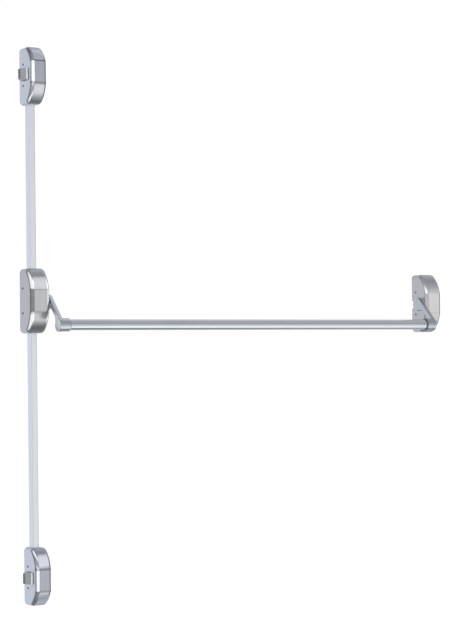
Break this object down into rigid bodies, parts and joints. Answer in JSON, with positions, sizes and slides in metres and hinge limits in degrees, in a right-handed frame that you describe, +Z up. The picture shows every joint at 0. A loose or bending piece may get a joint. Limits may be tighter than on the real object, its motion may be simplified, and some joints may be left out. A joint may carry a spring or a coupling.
{
  "type": "panic exit bar",
  "caption": "Cross-bar panic exit device: push bar on two lever arms drives vertical rods and side latch bolts at the top and bottom of a door.",
  "frame": {"origin": "centre of the central case base plate, on the door face", "axes": "+X along the push bar towards the passive case, +Y into the door, +Z up"},
  "size_m": [1.3022, 0.1218, 1.425],
  "materials": {
    "satin_cover": "satin brushed",
    "rod_cover": "satin anodised",
    "arm": "satin",
    "bar_tube": "fine brushed",
    "screw": "satin",
    "plate": "zinc plated",
    "bush": "machined",
    "shaft": "ground",
    "gear": "machined",
    "slide_block": "moulded",
    "spring": "drawn wire",
    "rod": "zinc plated",
    "casting": "as cast, plated",
    "bolt": "satin"
  },
  "bodies": {
    "chassis": {"central_base_plate": "plate", "central_cover": "satin_cover", "central_cover_screws": "screw", "gear_frame": "plate", "gear_frame_screws": "screw", "gear_frame_bushes": "bush", "front_rack_guide": "slide_block", "rear_slide_block": "slide_block", "return_spring": "spring", "passive_base_plate": "plate", "passive_cover": "satin_cover", "passive_cover_screws": "screw", "passive_frame": "plate", "passive_frame_screws": "screw", "passive_frame_bushes": "bush", "stop_pins": "shaft", "passive_spring": "spring", "upper_rod_cover": "rod_cover", "lower_rod_cover": "rod_cover", "upper_rod_guides": "slide_block", "lower_rod_guides": "slide_block", "top_latch_cover": "satin_cover", "top_cover_screws": "screw", "top_base_plate": "plate", "top_latch_housing": "casting", "top_housing_screws": "screw", "top_latch_spring": "spring", "bottom_latch_cover": "satin_cover", "bottom_cover_screws": "screw", "bottom_base_plate": "plate", "bottom_latch_housing": "casting", "bottom_housing_screws": "screw", "bottom_latch_spring": "spring"},
    "push_bar_unit": {"push_bar": "bar_tube", "left_arm": "arm", "right_arm": "arm", "arm_set_screws": "screw", "drive_shaft": "shaft", "drive_shaft_clip": "spring", "pinion_key": "shaft", "drive_pinion": "gear", "passive_shaft": "shaft", "passive_shaft_clip": "spring", "stop_lever": "gear", "stop_lever_key": "shaft"},
    "upper_rod_train": {"upper_rack": "gear", "upper_rod": "rod", "upper_rod_nut": "rod", "top_cam_plate": "gear"},
    "lower_rod_train": {"lower_rack": "gear", "lower_rod": "rod", "lower_rod_nut": "rod", "bottom_cam_plate": "gear"},
    "top_bolt": {"top_latch_bolt": "bolt", "top_latch_pin": "shaft"},
    "bottom_bolt": {"bottom_latch_bolt": "bolt", "bottom_latch_pin": "shaft"}
  },
  "joints": [
    {"name": "bar_push", "type": "hinge", "parent": "chassis", "child": "push_bar_unit", "pos_m": [0, -0.04, -0.003], "axis": [1, 0, 0], "range_deg": [0, 32]},
    {"name": "upper_rod_slide", "type": "slide", "parent": "chassis", "child": "upper_rod_train", "axis": [0, 0, -1], "range_m": [0, 0.00785], "deforming": ["return_spring", "top_latch_spring"]},
    {"name": "lower_rod_slide", "type": "slide", "parent": "chassis", "child": "lower_rod_train", "axis": [0, 0, 1], "range_m": [0, 0.00785], "deforming": ["bottom_latch_spring"]},
    {"name": "top_bolt_slide", "type": "slide", "parent": "chassis", "child": "top_bolt", "axis": [1, 0, 0], "range_m": [0, 0.01178]},
    {"name": "bottom_bolt_slide", "type": "slide", "parent": "chassis", "child": "bottom_bolt", "axis": [1, 0, 0], "range_m": [0, 0.01178]}
  ],
  "couplings": [
    {"joint": "upper_rod_slide", "follows": "bar_push", "m_per_rad": 0.014},
    {"joint": "lower_rod_slide", "follows": "bar_push", "m_per_rad": 0.014},
    {"joint": "top_bolt_slide", "follows": "bar_push", "m_per_rad": 0.021},
    {"joint": "bottom_bolt_slide", "follows": "bar_push", "m_per_rad": 0.021}
  ]
}
